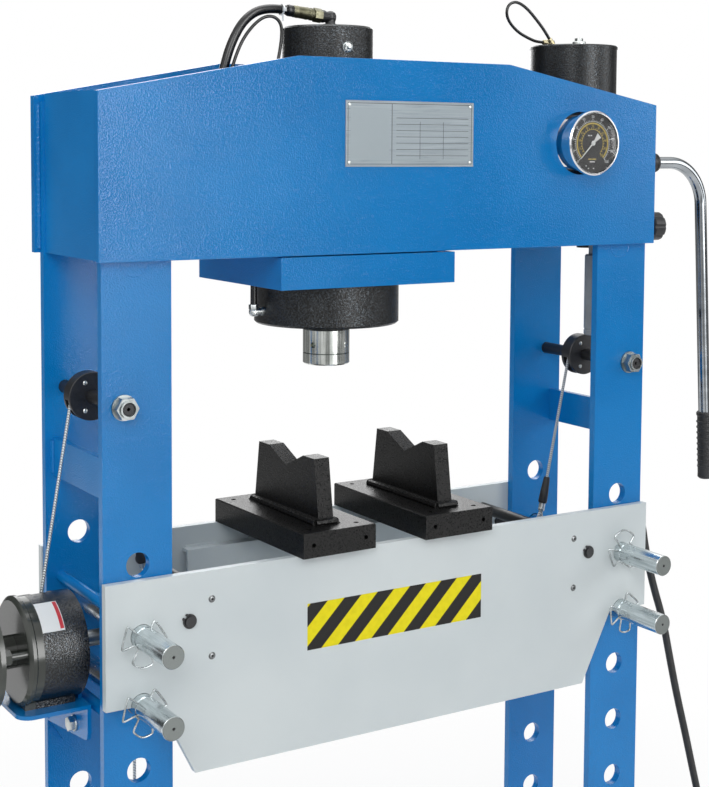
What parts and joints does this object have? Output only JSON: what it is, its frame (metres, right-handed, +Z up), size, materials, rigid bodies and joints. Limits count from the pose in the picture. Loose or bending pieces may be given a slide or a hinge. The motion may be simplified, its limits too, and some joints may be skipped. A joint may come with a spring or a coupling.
{
  "type": "hydraulic workshop press",
  "caption": "Floor-standing H-frame hydraulic press with a sliding cylinder, hand and air pump, pinned bed, V-blocks and a winch for the bed.",
  "frame": {"origin": "on the floor at the middle of the frame, under the base crossbar", "axes": "+X to the right across the front, +Y to the back, +Z up"},
  "size_m": [1.562, 0.6401, 1.9001],
  "materials": {
    "black_hammered": "hammered black enamel",
    "black_rubber": "matte rubber hose",
    "black_satin": "satin black",
    "blue_enamel": "orange-peel gloss enamel",
    "brass": "turned brass",
    "chromed_steel": "bright chrome",
    "clear_glass": "clear",
    "dial_black": "printed dial",
    "galvanised_rope": "stranded galvanised wire",
    "grey_enamel": "smooth light grey powder coat",
    "grip_rubber": "moulded rubber",
    "machined_steel": "turned steel",
    "motor_grey": "grey enamel",
    "plate_aluminium": "plain sheet",
    "pointer_white": "white lacquer",
    "zinc_steel": "bright zinc plating"
  },
  "bodies": {
    "frame": {"air_coupling": "brass", "air_hose": "black_rubber", "air_motor": "motor_grey", "base_crossbar": "blue_enamel", "base_foot_left": "blue_enamel", "base_foot_right": "blue_enamel", "bed_axles": "black_satin", "bed_front_plate": "grey_enamel", "bed_ledges": "grey_enamel", "bed_rear_plate": "grey_enamel", "breather_hose": "black_rubber", "column_ties": "blue_enamel", "crosshead_end_plates": "blue_enamel", "crosshead_front_plate": "blue_enamel", "crosshead_rear_plate": "blue_enamel", "gauge_case": "chromed_steel", "gauge_dial": "dial_black", "gauge_glass": "clear_glass", "gauge_pipe": "zinc_steel", "hydraulic_hose": "black_rubber", "oil_tank": "black_hammered", "pulley_bolts": "black_satin", "pulley_nuts": "zinc_steel", "pump_body": "black_hammered", "rating_plate": "plate_aluminium", "return_hose": "black_rubber", "rope_left": "galvanised_rope", "rope_right": "galvanised_rope", "tank_lid": "black_hammered", "upright_front_left": "blue_enamel", "upright_front_right": "blue_enamel", "upright_rear_left": "blue_enamel", "upright_rear_right": "blue_enamel", "v_block_left": "black_hammered", "v_block_right": "black_hammered", "winch_bracket": "blue_enamel", "winch_casing": "black_hammered"},
    "carriage": {"carriage_block": "blue_enamel", "cylinder_body": "black_hammered", "cylinder_flange": "black_hammered", "cylinder_fittings": "zinc_steel"},
    "ram": {"ram": "machined_steel"},
    "roller_left": {"carriage_roller_left": "machined_steel"},
    "roller_right": {"carriage_roller_right": "machined_steel"},
    "pump_lever": {"handle_socket": "black_satin", "handle_tube": "chromed_steel", "handle_grip": "grip_rubber"},
    "release_valve": {"release_knob": "black_satin"},
    "gauge_needle": {"gauge_pointer": "pointer_white"},
    "winch_shaft": {"winch_drum": "machined_steel", "winch_crank": "black_satin"},
    "crank_handle": {"crank_grip": "grip_rubber"},
    "wheel_left": {"rope_pulley_left": "black_satin"},
    "wheel_right": {"rope_pulley_right": "black_satin"},
    "base_wheel_left": {"base_pulley_left": "zinc_steel"},
    "base_wheel_right": {"base_pulley_right": "zinc_steel"},
    "pin_upper_left": {"pin_upper_left": "chromed_steel"},
    "pin_lower_left": {"pin_lower_left": "chromed_steel"},
    "pin_upper_right": {"pin_upper_right": "chromed_steel"},
    "pin_lower_right": {"pin_lower_right": "chromed_steel"}
  },
  "joints": [
    {"name": "carriage_slide", "type": "slide", "parent": "frame", "child": "carriage", "axis": [1, 0, 0], "range_m": [-0.087, 0.223], "deforming": ["hydraulic_hose", "return_hose"]},
    {"name": "roller_left_spin", "type": "hinge", "parent": "carriage", "child": "roller_left", "pos_m": [-0.188, 0, 1.529], "axis": [0, 1, 0], "range_deg": [-260, 650]},
    {"name": "roller_right_spin", "type": "hinge", "parent": "carriage", "child": "roller_right", "pos_m": [0.052, 0, 1.529], "axis": [0, 1, 0], "range_deg": [-260, 650]},
    {"name": "ram_slide", "type": "slide", "parent": "carriage", "child": "ram", "axis": [0, 0, -1], "range_m": [0, 0.22]},
    {"name": "lever_hinge", "type": "hinge", "parent": "frame", "child": "pump_lever", "pos_m": [0.528, 0, 1.622], "axis": [0, -1, 0], "range_deg": [0, 70]},
    {"name": "release_turn", "type": "hinge", "parent": "frame", "child": "release_valve", "pos_m": [0.6, 0, 1.506], "axis": [1, 0, 0], "range_deg": [0, 90]},
    {"name": "needle_turn", "type": "hinge", "parent": "frame", "child": "gauge_needle", "pos_m": [0.3445, -0.16, 1.6555], "axis": [0, 1, 0], "range_deg": [0, 270]},
    {"name": "winch_turn", "type": "hinge", "parent": "frame", "child": "winch_shaft", "pos_m": [-0.55, 0, 0.917], "axis": [1, 0, 0], "continuous": true},
    {"name": "crank_grip_turn", "type": "hinge", "parent": "winch_shaft", "child": "crank_handle", "pos_m": [-0.714, 0, 0.687], "axis": [1, 0, 0], "continuous": true},
    {"name": "wheel_left_turn", "type": "hinge", "parent": "frame", "child": "wheel_left", "pos_m": [-0.4703, 0.007, 1.2795], "axis": [0, 1, 0], "continuous": true},
    {"name": "wheel_right_turn", "type": "hinge", "parent": "frame", "child": "wheel_right", "pos_m": [0.4703, 0.007, 1.2795], "axis": [0, 1, 0], "continuous": true},
    {"name": "base_wheel_left_turn", "type": "hinge", "parent": "frame", "child": "base_wheel_left", "pos_m": [-0.39, 0, 0.06], "axis": [0, 1, 0], "continuous": true},
    {"name": "base_wheel_right_turn", "type": "hinge", "parent": "frame", "child": "base_wheel_right", "pos_m": [0.4698, 0, 0.06], "axis": [0, 1, 0], "continuous": true},
    {"name": "pin_upper_left_slide", "type": "slide", "parent": "frame", "child": "pin_upper_left", "axis": [0, -1, 0], "range_m": [0, 0.27]},
    {"name": "pin_lower_left_slide", "type": "slide", "parent": "frame", "child": "pin_lower_left", "axis": [0, -1, 0], "range_m": [0, 0.27]},
    {"name": "pin_upper_right_slide", "type": "slide", "parent": "frame", "child": "pin_upper_right", "axis": [0, -1, 0], "range_m": [0, 0.27]},
    {"name": "pin_lower_right_slide", "type": "slide", "parent": "frame", "child": "pin_lower_right", "axis": [0, -1, 0], "range_m": [0, 0.27]}
  ],
  "couplings": [
    {"joint": "roller_left_spin", "follows": "carriage_slide", "rad_per_m": 50.505},
    {"joint": "roller_right_spin", "follows": "carriage_slide", "rad_per_m": 50.505}
  ]
}
